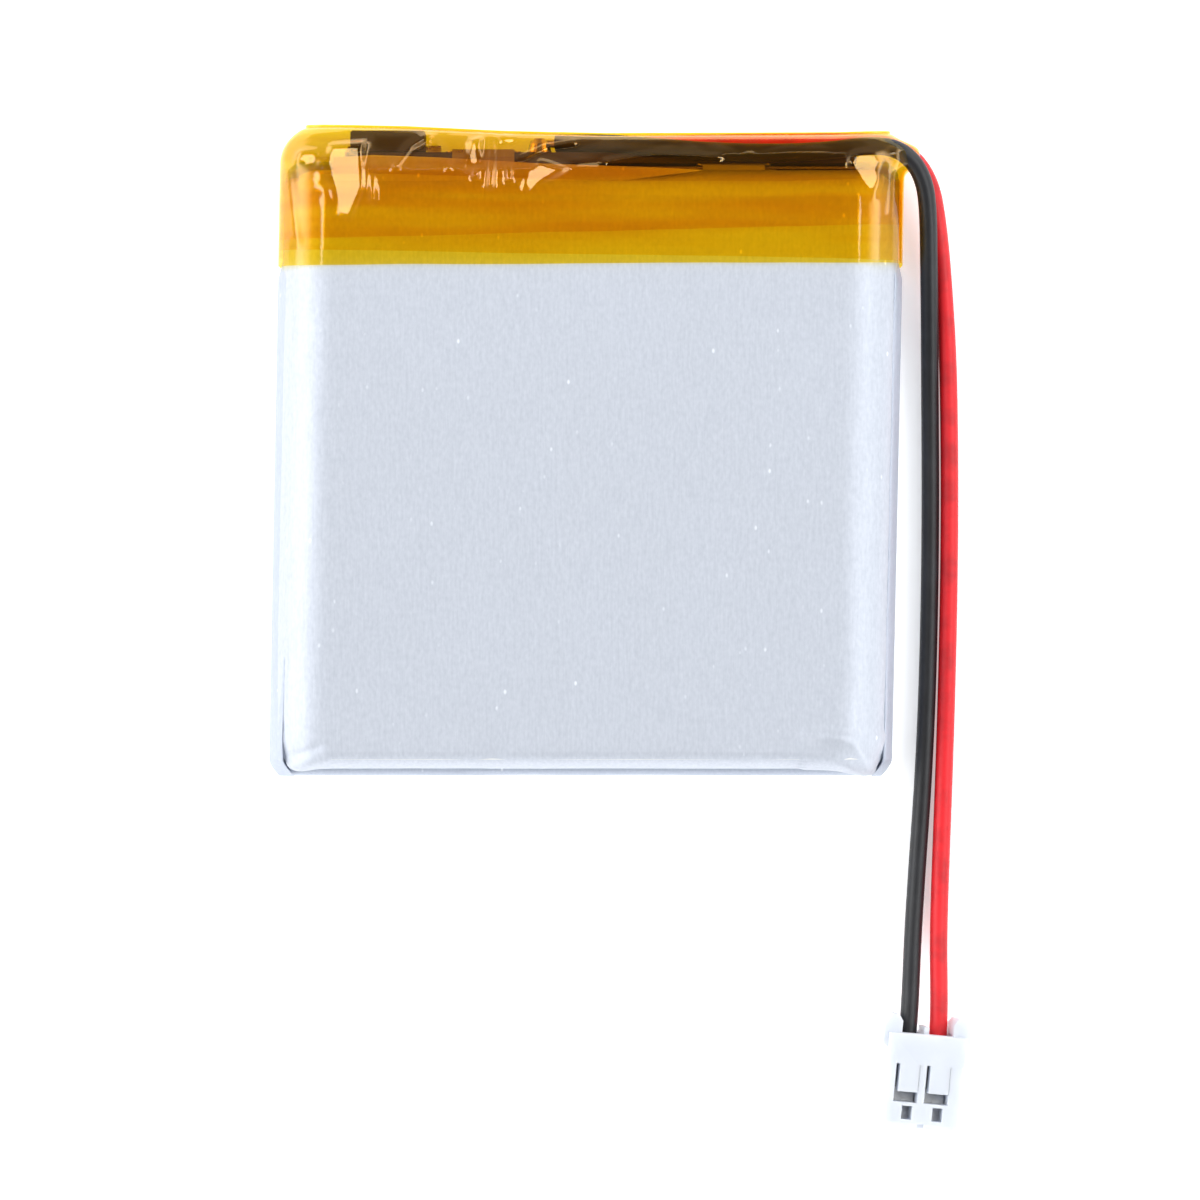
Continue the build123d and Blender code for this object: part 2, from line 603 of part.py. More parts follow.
def tape_layer(number, edge_y):
    """One wrap of tape, open towards the cell's foot at edge_y and cut away where the leads leave."""
    with BuildPart() as layer:
        add(forms[number])
        add(forms[number - 1], mode=Mode.SUBTRACT)
        block(-25, 25, -5, edge_y, -5, 10, mode=Mode.SUBTRACT)
        block(*LEAD_MOUTH, mode=Mode.SUBTRACT)
    return layer.part


tape_inner = tape_layer(1, 14.0)
tape_inner.label = "tape_inner"
tape_middle = tape_layer(2, 12.7)
tape_middle.label = "tape_middle"
tape_outer = tape_layer(3, 12.0)
tape_outer.label = "tape_outer"

# ---------------------------------------------------------------- one file for each sub-part
os.makedirs("parts", exist_ok=True)
PIECES = [
    pouch_front.part, pouch_back.part,
    cathode_sheet, separator_inner, anode_sheet, separator_outer, roll_end_tape.part,
    tab_positive, tab_negative, tab_seal_positive.part, tab_seal_negative.part,
    board_insulator.part, circuit_board.part, weld_plate_positive, weld_plate_negative,
    board_pads.part, power_switch.part, power_switch_pins.part,
    protection_ic.part, protection_ic_pins.part,
    chip_resistors, chip_capacitor, chip_terminals.part,
    lead_red, lead_black, strands_board_end.part, strands_plug_end.part, solder_joints.part,
    contact_negative, contact_positive, plug_housing.part,
    tape_inner, tape_middle, tape_outer,
]
for piece in PIECES:
    export_step(piece, f"parts/{piece.label}.step")
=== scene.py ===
import math

import bmesh
import bpy
import numpy as np
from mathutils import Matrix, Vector, noise


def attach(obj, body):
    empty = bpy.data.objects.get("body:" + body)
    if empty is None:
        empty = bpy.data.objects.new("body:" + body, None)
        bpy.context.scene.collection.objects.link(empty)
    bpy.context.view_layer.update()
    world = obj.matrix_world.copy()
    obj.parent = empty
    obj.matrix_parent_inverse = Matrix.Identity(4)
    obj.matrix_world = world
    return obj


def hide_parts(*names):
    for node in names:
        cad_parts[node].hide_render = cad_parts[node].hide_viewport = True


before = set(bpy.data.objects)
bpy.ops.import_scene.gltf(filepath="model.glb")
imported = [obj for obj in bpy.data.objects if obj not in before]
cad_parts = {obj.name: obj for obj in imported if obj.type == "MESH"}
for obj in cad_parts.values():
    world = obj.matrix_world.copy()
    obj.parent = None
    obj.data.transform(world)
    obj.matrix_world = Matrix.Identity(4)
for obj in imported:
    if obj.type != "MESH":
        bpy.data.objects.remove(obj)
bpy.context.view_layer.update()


# ---- Camera ----
# A long lens 0.4 m straight above the cell, as for a flat lay on a copy stand. The field is
# measured where the camera is focused, on the cell's face.
MM = 0.001
FIELD_ACROSS = 76.92 * MM
LENS = 187.0
SENSOR = 36.0
CELL_FACE_Z = 5.0 * MM

camera_data = bpy.data.cameras.new("camera")
camera_data.lens = LENS
camera_data.sensor_width = SENSOR
camera_data.clip_start = 0.01
camera = bpy.data.objects.new("camera", camera_data)
camera.location = (0.90 * MM, -9.49 * MM, CELL_FACE_Z + FIELD_ACROSS * LENS / SENSOR)
bpy.context.scene.collection.objects.link(camera)
bpy.context.scene.camera = camera
bpy.context.scene.view_settings.view_transform = "Standard"


# ---- Leads ----
# Two 26 AWG hook-up wires, stranded tinned copper in extruded PVC. They leave the protection board
# under the tape, turn down round the head's corner, lie beside the cell and end in the plug.
# Extruded PVC is a dense, slightly waxy plastic: a soft highlight, a faintly uneven skin and
# the odd scuff.
LEAD_RADIUS = 0.575
RED_ROUTE = [
    (3.80, 19.88, 1.95), (6.50, 19.93, 2.45), (9.50, 19.96, 3.05), (12.80, 19.95, 3.32),
    (15.90, 19.98, 3.38), (18.20, 19.97, 3.36), (20.00, 19.70, 3.30), (21.35, 18.75, 3.10),
    (22.25, 17.20, 2.75), (22.65, 15.20, 2.10), (22.95, 12.90, 1.40), (23.20, 10.00, 0.85),
    (23.42, 6.60, 0.60), (23.52, 2.80, 0.58), (23.56, -3.00, 0.59), (23.50, -9.40, 0.58),
    (23.34, -16.20, 0.59), (23.14, -22.20, 0.58), (22.94, -27.40, 0.62), (22.80, -31.60, 1.00),
    (22.80, -35.30, 2.10), (22.72, -37.55, 2.36), (22.54, -39.39, 2.36),
]
BLACK_ROUTE = [
    (-1.90, 19.88, 3.35), (0.90, 19.90, 4.10), (4.20, 19.60, 4.70), (8.00, 19.28, 4.78),
    (12.20, 19.18, 4.77), (15.80, 19.34, 4.78), (18.20, 19.70, 4.72), (19.90, 19.53, 4.62),
    (21.10, 18.62, 4.44), (21.80, 17.20, 4.10), (22.02, 15.30, 3.45), (22.10, 13.00, 2.60),
    (22.18, 10.20, 1.75), (22.24, 6.80, 1.05), (22.28, 3.00, 0.66), (22.32, -2.60, 0.58),
    (22.27, -9.00, 0.59), (22.10, -15.80, 0.58), (21.82, -21.60, 0.59), (21.45, -26.80, 0.62),
    (21.15, -31.20, 1.05), (20.93, -35.05, 2.35), (20.76, -37.25, 2.64), (20.57, -39.20, 2.64),
]


def to_linear(hex_colour):
    channels = [int(hex_colour[i:i + 2], 16) / 255 for i in (1, 3, 5)]
    linear = [c / 12.92 if c <= 0.04045 else ((c + 0.055) / 1.055) ** 2.4 for c in channels]
    return (*linear, 1.0)


def add_node(material, kind, settings, links):
    """A node of that kind. settings are its attributes. links are its inputs, by name or by number,
    each with the value or the socket that feeds it."""
    tree = material.node_tree
    made = tree.nodes.new(kind)
    for name, value in settings.items():
        setattr(made, name, value)
    for place, value in links.items():
        if isinstance(value, bpy.types.NodeSocket):
            tree.links.new(value, made.inputs[place])
        else:
            made.inputs[place].default_value = value
    return made


def new_material(name):
    material = bpy.data.materials.new(name)
    material.use_nodes = True
    material.node_tree.nodes.clear()
    return material


def finish_material(material, shader):
    add_node(material, "ShaderNodeOutputMaterial", {}, {"Surface": shader})
    return material


def object_place(material, scale):
    """Where a point is in the object, in millimetres, stretched by scale."""
    place = add_node(material, "ShaderNodeTexCoord", {}, {})
    mapping = add_node(material, "ShaderNodeMapping", {"vector_type": "POINT"},
                       {"Vector": place.outputs["Object"], "Scale": [s / MM for s in scale]})
    return mapping.outputs["Vector"]


def extruded_pvc(name, base, scuffed, roughness):
    """Scuffs about 2 mm long, and a skin that undulates every 0.2 mm."""
    material = new_material(name)
    around = object_place(material, (1, 1, 1))
    scuffs = add_node(material, "ShaderNodeTexNoise", {}, {"Vector": around, "Scale": 0.55, "Detail": 4.0})
    where = add_node(material, "ShaderNodeMapRange", {},
                     {"Value": scuffs.outputs["Fac"], "From Min": 0.42, "From Max": 0.68})
    colour = add_node(material, "ShaderNodeMix", {"data_type": "RGBA"},
                      {"Factor": where.outputs["Result"], "A": to_linear(base), "B": to_linear(scuffed)})
    skin = add_node(material, "ShaderNodeTexNoise", {}, {"Vector": around, "Scale": 5.0, "Detail": 3.0})
    bump = add_node(material, "ShaderNodeBump", {},
                    {"Height": skin.outputs["Fac"], "Strength": 0.25, "Distance": 0.03 * MM})
    rough = add_node(material, "ShaderNodeMapRange", {},
                     {"Value": skin.outputs["Fac"], "To Min": roughness - 0.06, "To Max": roughness + 0.1})
    shader = add_node(material, "ShaderNodeBsdfPrincipled", {},
                      {"Base Color": colour.outputs["Result"], "Roughness": rough.outputs["Result"],
                       "Normal": bump.outputs["Normal"], "IOR": 1.53})
    return finish_material(material, shader.outputs["BSDF"])


RED_PVC = extruded_pvc("red extruded PVC", "#EE1521", "#C8101B", 0.48)
BLACK_PVC = extruded_pvc("black extruded PVC", "#131316", "#1E1E22", 0.42)


def lead(name, route, material):
    curve = bpy.data.curves.new(name, "CURVE")
    curve.dimensions = "3D"
    spline = curve.splines.new("NURBS")
    spline.points.add(len(route) - 1)
    for point, place in zip(spline.points, route):
        point.co = (*[c * MM for c in place], 1.0)
    spline.order_u = 3
    spline.use_endpoint_u = True
    spline.resolution_u = 10
    curve.bevel_depth = LEAD_RADIUS * MM
    curve.bevel_resolution = 8
    curve.use_fill_caps = True
    curve.materials.append(material)
    piece = bpy.data.objects.new(name, curve)
    bpy.context.scene.collection.objects.link(piece)
    return piece


red_lead = lead("red_lead", RED_ROUTE, RED_PVC)
black_lead = lead("black_lead", BLACK_ROUTE, BLACK_PVC)


# ---- Plug housing ----
# The two-way crimp housing, injection moulded in white polyamide: milky, a little light soaks in,
# with a fine satin skin and edges rounded by the mould.
EDGE_ROUND = 0.07 * MM


def moulded_polyamide():
    """Light soaks about half a millimetre in, and the mould's fine spark texture dulls the skin."""
    material = new_material("white moulded polyamide")
    place = object_place(material, (1, 1, 1))
    cloud = add_node(material, "ShaderNodeTexNoise", {}, {"Vector": place, "Scale": 0.5, "Detail": 3.0})
    colour = add_node(material, "ShaderNodeMix", {"data_type": "RGBA"},
                      {"Factor": cloud.outputs["Fac"], "A": to_linear("#DADEE6"),
                       "B": to_linear("#E3E7EE")})
    skin = add_node(material, "ShaderNodeTexNoise", {}, {"Vector": place, "Scale": 14.0, "Detail": 2.0})
    bump = add_node(material, "ShaderNodeBump", {},
                    {"Height": skin.outputs["Fac"], "Strength": 0.2, "Distance": 0.01 * MM})
    shader = add_node(material, "ShaderNodeBsdfPrincipled", {},
                      {"Base Color": colour.outputs["Result"], "Roughness": 0.42, "IOR": 1.53,
                       "Normal": bump.outputs["Normal"], "Subsurface Weight": 0.6,
                       "Subsurface Radius": (1.0, 1.0, 1.0), "Subsurface Scale": 0.6 * MM})
    return finish_material(material, shader.outputs["BSDF"])


def softened(node_name, piece_name, width, material):
    """A copy of a CAD node with its edges rounded, as moulding, stamping or lacquer leaves them."""
    shape = bmesh.new()
    shape.from_mesh(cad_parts[node_name].data)
    bmesh.ops.remove_doubles(shape, verts=shape.verts, dist=0.002 * MM)
    bmesh.ops.dissolve_limit(shape, angle_limit=math.radians(1.0), verts=shape.verts, edges=shape.edges)
    data = bpy.data.meshes.new(piece_name)
    shape.to_mesh(data)
    shape.free()
    piece = bpy.data.objects.new(piece_name, data)
    bpy.context.scene.collection.objects.link(piece)
    rounding = piece.modifiers.new("rounding", "BEVEL")
    rounding.width = width
    rounding.segments = 3
    rounding.limit_method = "ANGLE"
    rounding.angle_limit = math.radians(35)
    rounding.use_clamp_overlap = True
    bpy.context.view_layer.update()
    final = bpy.data.meshes.new_from_object(piece.evaluated_get(bpy.context.evaluated_depsgraph_get()))
    piece.modifiers.clear()
    piece.data = final
    final.materials.clear()
    final.materials.append(material)
    final.shade_smooth()
    final.set_sharp_from_angle(angle=math.radians(50))
    return piece


WHITE_POLYAMIDE = moulded_polyamide()
plug = softened("plug_housing", "plug_shell", EDGE_ROUND, WHITE_POLYAMIDE)
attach(plug, "root")
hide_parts("plug_housing")

for piece, node_name, slot_name, route, length in (
    (red_lead, "lead_red", "red_pvc", RED_ROUTE, 76.9),
    (black_lead, "lead_black", "black_pvc", BLACK_ROUTE, 82.2),
):
    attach(piece, "root")
    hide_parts(node_name)


# ---- Pouch ----
# Aluminium laminated film: nylon over aluminium foil over polypropylene, cold drawn over the wound
# electrodes. The long edges are round because the wound roll is, and the foot is the fold of the
# film. The nylon is satin, so the foil under it looks pale blue-grey with a fine lengthwise grain.
CELL_CORNERS = ((12.0, 20.10, 0.285), (-15.9, 20.06, -0.275))   # y, half width, middle
SEAL_HALF = 19.86


def laid_askew(points, nominal_half):
    """The drawn film isn't quite square: it narrows and drifts to one side towards the foot."""
    (head_y, head_half, head_middle), (foot_y, foot_half, foot_middle) = CELL_CORNERS
    share = (points[:, 1] - foot_y) / (head_y - foot_y)
    half = foot_half + share * (head_half - foot_half)
    middle = foot_middle + share * (head_middle - foot_middle)
    moved = points.copy()
    moved[:, 0] = points[:, 0] * half / nominal_half + middle
    return moved


def ripple(points, wavelength, seed):
    """Smooth noise from -1 to 1 at each point."""
    lengths = np.broadcast_to(np.array(wavelength, float), (3,))
    return np.array([noise.noise(Vector(p / lengths) + Vector((seed, 0.37 * seed, 0.0))) for p in points])


def mound(points, centre, spread):
    """1 at centre, falling off over spread along x and y."""
    away = ((points[:, 0] - centre[0]) / spread[0]) ** 2 + ((points[:, 1] - centre[1]) / spread[1]) ** 2
    return np.exp(-away)


def ridge(points, line, width):
    """1 on a line of points in x and y, falling off over width to each side."""
    nearest = np.full(len(points), 1e9)
    for start, end in zip(line, line[1:]):
        a, b = np.array(start, float), np.array(end, float)
        along = np.clip(((points[:, :2] - a) @ (b - a)) / ((b - a) @ (b - a)), 0, 1)
        gap = points[:, :2] - (a + along[:, None] * (b - a))
        nearest = np.minimum(nearest, np.hypot(gap[:, 0], gap[:, 1]))
    return np.exp(-(nearest / width) ** 2)


def ring_faces(rings, around):
    return [(r * around + k, r * around + (k + 1) % around, (r + 1) * around + (k + 1) % around,
             (r + 1) * around + k) for r in range(rings - 1) for k in range(around)]


def add_piece(name, points, faces, material):
    data = bpy.data.meshes.new(name)
    data.from_pydata((points * MM).tolist(), [], faces)
    data.materials.append(material)
    data.shade_smooth()
    data.update()
    piece = bpy.data.objects.new(name, data)
    bpy.context.scene.collection.objects.link(piece)
    return piece


def rounded_outline(half_width, low, high, radius, straight, turn):
    """Points anticlockwise round a rounded rectangle, and the way each one faces."""
    corners = [(half_width - radius, low + radius, -90), (half_width - radius, high - radius, 0),
               (radius - half_width, high - radius, 90), (radius - half_width, low + radius, 180)]
    points, facing = [], []
    for number, (x, y, start) in enumerate(corners):
        for step in range(turn + 1):
            angle = math.radians(start + 90 * step / turn)
            points.append((x + radius * math.cos(angle), y + radius * math.sin(angle)))
            facing.append((math.cos(angle), math.sin(angle)))
        end = np.array(points[-1])
        next_x, next_y, next_start = corners[(number + 1) % 4]
        angle = math.radians(next_start)
        target = np.array((next_x + radius * math.cos(angle), next_y + radius * math.sin(angle)))
        for step in range(1, straight):
            points.append(tuple(end + (target - end) * step / straight))
            facing.append(facing[-1])
    return np.array(points), np.array(facing)


def satin_film(name, dark, light):
    """Satin nylon over foil: a rolling grain along the cell, a mottle of a quarter millimetre, and a
    haze that hides half of the metal's shine."""
    material = new_material(name)
    grain_place = object_place(material, (1, 0.09, 1))
    grain = add_node(material, "ShaderNodeTexNoise", {},
                     {"Vector": grain_place, "Scale": 6.5, "Detail": 5.0, "Roughness": 0.7})
    place = object_place(material, (1, 0.6, 1))
    mottle = add_node(material, "ShaderNodeTexNoise", {}, {"Vector": place, "Scale": 4.5, "Detail": 3.0})
    cloud = add_node(material, "ShaderNodeTexNoise", {}, {"Vector": place, "Scale": 0.25, "Detail": 2.0})
    mixed = add_node(material, "ShaderNodeMix", {"data_type": "FLOAT"},
                     {"Factor": 0.5, "A": grain.outputs["Fac"], "B": mottle.outputs["Fac"]})
    shade = add_node(material, "ShaderNodeMapRange", {},
                     {"Value": mixed.outputs["Result"], "From Min": 0.32, "From Max": 0.68})
    colour = add_node(material, "ShaderNodeMix", {"data_type": "RGBA"},
                      {"Factor": shade.outputs["Result"], "A": to_linear(dark), "B": to_linear(light)})
    # pinholes and rubbed spots a tenth of a millimetre wide, lighter than the film round them
    spots = add_node(material, "ShaderNodeTexVoronoi", {}, {"Vector": place, "Scale": 1.1})
    pick = add_node(material, "ShaderNodeTexNoise", {}, {"Vector": place, "Scale": 0.7})
    near = add_node(material, "ShaderNodeMapRange", {},
                    {"Value": spots.outputs["Distance"], "From Min": 0.13, "From Max": 0.05})
    chosen = add_node(material, "ShaderNodeMapRange", {},
                      {"Value": pick.outputs["Fac"], "From Min": 0.50, "From Max": 0.62})
    bright = add_node(material, "ShaderNodeMath", {"operation": "MULTIPLY"},
                      {0: near.outputs["Result"], 1: chosen.outputs["Result"]})
    spotted = add_node(material, "ShaderNodeMix", {"data_type": "RGBA"},
                       {"Factor": bright.outputs["Value"], "A": colour.outputs["Result"],
                        "B": to_linear("#F0F3F9")})
    rough = add_node(material, "ShaderNodeMapRange", {},
                     {"Value": cloud.outputs["Fac"], "To Min": 0.52, "To Max": 0.62})
    bump = add_node(material, "ShaderNodeBump", {},
                    {"Height": mixed.outputs["Result"], "Strength": 0.3, "Distance": 0.02 * MM})
    shader = add_node(material, "ShaderNodeBsdfPrincipled", {},
                      {"Base Color": spotted.outputs["Result"], "Metallic": 0.55,
                       "Roughness": rough.outputs["Result"], "Normal": bump.outputs["Normal"]})
    return finish_material(material, shader.outputs["BSDF"])


FILM = satin_film("satin aluminium laminate", "#C2C7D1", "#D3D7E0")
FACE_Z = 5.98
FOLD_Z = 0.42
WALL_HALF = 19.50
FOOT_WALL = -20.32
HEAD_WALL = 18.10
SIDE_ROUND = (3.4, 2.9)       # how far in and how far down the face rolls off at the long edges
FOOT_ROUND = (1.15, 2.0)
HEAD_ROUND = (1.9, 1.5)
WALL_CORNER = 2.1             # the corners' radius in plan, and how much of it goes on the way up
CORNER_LOSS = 0.9
LEAST_CORNER = 0.06
FACE_MIDDLE = 0.12            # half the width of the smallest ring, in the middle of the face
WALL_STEPS = 8
ROUND_STEPS = 26
FACE_STEPS = 58
EDGE_STEPS, CORNER_STEPS = 90, 16


def pouch_front_points():
    """Rings that climb the wall, roll over its edge and close in on the middle of the face."""
    rows, rises = [], []
    face_length = HEAD_WALL - FOOT_WALL - FOOT_ROUND[0] - HEAD_ROUND[0]
    room = min(WALL_HALF - SIDE_ROUND[0], face_length / 2) - FACE_MIDDLE
    for step in range(WALL_STEPS + 1 + ROUND_STEPS + FACE_STEPS):
        lifted = min(step / WALL_STEPS, 1.0)
        turn = min(max((step - WALL_STEPS) / ROUND_STEPS, 0.0), 1.0) * math.pi / 2
        across = max(step - WALL_STEPS - ROUND_STEPS, 0) / FACE_STEPS
        in_by = 1 - math.cos(turn)
        side_in, foot_in, head_in = (r[0] * in_by for r in (SIDE_ROUND, FOOT_ROUND, HEAD_ROUND))
        shrink = room * across
        radius = (WALL_CORNER - CORNER_LOSS * in_by) * (1 - across) + LEAST_CORNER
        outline, facing = rounded_outline(
            WALL_HALF - side_in - shrink, FOOT_WALL + foot_in + shrink, HEAD_WALL - head_in - shrink,
            radius, EDGE_STEPS, CORNER_STEPS)
        to_foot, to_head = np.minimum(facing[:, 1], 0), np.maximum(facing[:, 1], 0)
        depth = (SIDE_ROUND[1] * facing[:, 0] ** 2 + FOOT_ROUND[1] * to_foot ** 2
                 + HEAD_ROUND[1] * to_head ** 2)
        z = FACE_Z - depth * (1 - math.sin(turn))
        z = FOLD_Z + (z - FOLD_Z) * lifted
        rows.append(np.column_stack([outline, z]))
        rises.append(np.column_stack([facing * math.cos(turn), np.full(len(z), math.sin(turn))]))
    return rows, rises


# lines where the film is creased, in x and y, with the height and how far it spreads
FILM_CREASES = [
    # a crease by the right edge and the pull beside it
    ([(13.2, 7.9), (13.6, 6.2), (13.3, 4.7)], -0.05, 0.22),
    ([(13.6, 7.6), (14.0, 6.1), (13.7, 4.8)], 0.04, 0.25),
    # the face sinks a little where the wound roll ends
    ([(-16.0, 16.1), (0.0, 15.95), (17.5, 15.8)], -0.10, 0.40),
    # folds gathered into both corners of the foot
    ([(15.2, -18.9), (16.4, -19.3), (17.6, -20.2)], -0.10, 0.24),
    ([(15.6, -18.2), (17.2, -18.6), (18.6, -19.9)], 0.12, 0.32),
    ([(17.4, -16.4), (17.9, -18.2), (18.8, -19.6)], -0.08, 0.26),
    ([(-16.6, -18.9), (-18.0, -19.4), (-19.2, -19.7)], -0.10, 0.26),
    ([(-18.6, -14.0), (-18.7, -17.0), (-18.4, -19.0)], 0.10, 0.20),
    ([(-18.95, -13.0), (-19.05, -16.5), (-18.85, -19.2)], -0.09, 0.16),
]
# the dent in the foot's edge and what it pushes up on each side: centre, height and spread
FOOT_DENT = [((-5.5, -19.3), -0.10, (0.9, 0.40)), ((-4.4, -19.2), 0.06, (0.8, 0.5)),
             ((-6.7, -19.2), 0.05, (0.9, 0.5))]
ROLL_COVER = 0.06             # the least film over the roll, which lies close in the right corner

rows, rises = pouch_front_points()
around = len(rows[0])
points, rises = np.vstack(rows), np.vstack(rises)
swell = 0.020 * ripple(points, (7.0, 9.0, 6.0), 3.0) + 0.006 * ripple(points, (1.6, 5.0, 1.6), 11.0)
near_side = np.clip((np.abs(points[:, 0]) - 15.5) / 2.5, 0, 1)
swell += 0.035 * near_side * ripple(points, (1.1, 7.5, 3.0), 23.0)
for centre, height, spread in FOOT_DENT:
    swell += height * mound(points, centre, spread)
for line, height, width in FILM_CREASES:
    swell += height * ridge(points, line, width)
corner = (points[:, 0] > 14.0) & (points[:, 1] < -18.0)
swell = np.where(corner, np.maximum(swell + 0.09, ROLL_COVER), swell)
points = points + rises * swell[:, None]
# the foot's corners are pinched out and hang lower
for side, reach, spread in ((-1, 0.42, 1.5), (1, 0.62, 1.9)):
    pull = mound(points, (side * 18.9, -20.3), (spread, 0.9))
    points[:, 1] -= reach * pull
    points[:, 2] -= 0.12 * pull * (points[:, 2] / FACE_Z)
faces = ring_faces(len(rows), around)
faces.append(tuple(range(len(points) - around, len(points))))
faces.append(tuple(reversed(range(around))))
pouch_face = add_piece("pouch_face", laid_askew(points, SEAL_HALF), faces, FILM)
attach(pouch_face, "root")
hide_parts("pouch_front")


# ---- Back film and side seals ----
# The flat half of the same film. The side seals, where both films are melted together, are folded
# up against the rolled edges and pressed in under the tape. The fold at the foot shows as a pale
# lip under the face. Its film is painted darker and bluer than the face's, as painted shade.
BACK_Z = 0.18
BACK_TOP = 1.30
LIP_HALF = 19.62
LIP_FOOT = -20.84
LIP_HEAD = 18.9
LIP_ROUND = 0.5               # how far the fold bulges out between the back and the top of the lip
LIP_CORNER = 1.2
LIP_STEPS = 14
LIP_CORNER_STEPS = 12

# painted shade: the seals and the lip get the film's colours painted darker and bluer than the face's
SHADED_SEAL_FILM = satin_film("laminate painted in shade", "#B9C0CE", "#C8CEDB")

lip_rows = []
for step in range(LIP_STEPS + 1):
    turn = math.pi * step / LIP_STEPS
    inset = LIP_ROUND * (1 - math.sin(turn))
    outline, _ = rounded_outline(LIP_HALF - inset, LIP_FOOT + inset, LIP_HEAD - inset,
                                 LIP_CORNER, EDGE_STEPS, LIP_CORNER_STEPS)
    height = (BACK_Z + BACK_TOP) / 2 - (BACK_TOP - BACK_Z) / 2 * math.cos(turn)
    lip_rows.append(np.column_stack([outline, np.full(len(outline), height)]))
lip = np.vstack(lip_rows)
lip[:, 1] += np.where(lip[:, 1] < -19, 0.05 * ripple(lip, (6.0, 6.0, 3.0), 31.0), 0)
faces = ring_faces(len(lip_rows), len(lip_rows[0]))
faces.append(tuple(reversed(range(len(lip_rows[0])))))
faces.append(tuple(range(len(lip) - len(lip_rows[0]), len(lip))))

SEAL_FOOT, SEAL_HEAD = -20.88, 17.6
SEAL_ROWS = 190
SEAL_OUTER = [(19.86, 0.42), (19.93, 1.1), (19.92, 2.0), (19.80, 2.9), (19.55, 3.6)]
SEAL_TOPS = {-1: (19.02, 4.50), 1: (19.38, 4.05)}
SEAL_THICKNESS = 0.22
SEAL_WAVE = 0.10
FOOT_CUT = 1.1                # the length over which a seal's end is trimmed away at the foot
TAPE_EDGE = 11.2              # from here on the tape presses the seals in
TAPE_PRESS = 0.30


def seal_points(side):
    """One folded seal: a strip standing against the rolled edge, its upper edge a little wavy."""
    top_x, top_z = SEAL_TOPS[side]
    strip = []
    for row in range(SEAL_ROWS + 1):
        y = SEAL_FOOT + (SEAL_HEAD - SEAL_FOOT) * row / SEAL_ROWS
        wave = noise.noise(Vector((side * 3.0, y / 5.0, 0)))
        wave += 0.5 * noise.noise(Vector((side * 7.0, y / 1.7, 4)))
        lean = SEAL_WAVE * noise.noise(Vector((9.0 * side, y / 8.0, 2)))
        whole = min(max((y - SEAL_FOOT) / FOOT_CUT, 0.0), 1.0)
        pressed = TAPE_PRESS * min(max((y - TAPE_EDGE) / 1.2, 0.0), 1.0)
        inwards = pressed + 0.60 * (1 - whole) ** 1.6
        upright = 0.22 + 0.78 * whole
        outer = [*SEAL_OUTER, (top_x + lean, top_z + SEAL_WAVE * wave)]
        outer = [(x - inwards, FOLD_Z + (z - FOLD_Z) * upright) for x, z in outer]
        tip_x, tip_z = outer[-1]
        loop = outer + [(tip_x - 0.07, tip_z + 0.07), (tip_x - 0.16, tip_z + 0.02)]
        loop += [(x - SEAL_THICKNESS, z) for x, z in reversed(outer[:-1])]
        strip += [(side * x, y, z) for x, z in loop]
    return np.array(strip), len(loop)


film_points, film_faces = [lip], faces
for side in (-1, 1):
    strip, loop = seal_points(side)
    start = sum(len(p) for p in film_points)
    seal_faces = ring_faces(SEAL_ROWS + 1, loop)
    seal_faces += [tuple(range(loop)), tuple(range(len(strip) - loop, len(strip)))]
    film_faces += [tuple(start + i for i in face) for face in seal_faces]
    film_points.append(strip)
back_film = add_piece("back_film", laid_askew(np.vstack(film_points), SEAL_HALF), film_faces, SHADED_SEAL_FILM)
shape = bmesh.new()
shape.from_mesh(back_film.data)
bmesh.ops.recalc_face_normals(shape, faces=shape.faces)
shape.to_mesh(back_film.data)
shape.free()
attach(back_film, "root")
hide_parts("pouch_back")


# ---- Tape ----
# Three wraps of amber polyimide tape round the head, silicone adhesive side in. The film is clear
# and very glossy, and each wrap takes out more of the blue, so the colour deepens from lemon to
# orange where the wraps lie over each other. It crumples where it bridges the board.
TAPE_HALF = 19.98
TAPE_BACK = 0.16
TAPE_ROUND = (3.3, 2.9)       # how far in and how far down it rolls off at the long edges
TAPE_HEEL = 0.7               # its radius where it turns in under the cell
TAPE_COLUMNS = 206
UNDER_COLUMNS = 60
TAPE_ROWS = 60
HEAD_ROWS = 12
# the height of the tape over the head, from the flat face to the end: y, left and right
HEAD_FALL = [(16.9, 5.99, 5.99), (18.1, 5.84, 5.93), (19.2, 5.36, 5.80), (19.6, 5.20, 5.70),
             (20.4, 4.90, 5.46), (20.72, 4.62, 5.05), (20.86, 3.90, 4.30)]
# the height of its underside towards the end
BACK_RISE = [(19.6, TAPE_BACK), (20.4, 0.5), (20.8, 1.1)]
# how far the end is pulled in, along x
HEAD_DIP = [(-17.5, 0.06), (-12.0, -0.06), (-5.7, -0.36), (0.9, -0.52), (10.4, -0.50),
            (15.6, -0.47), (18.2, -0.38), (19.3, -0.34)]
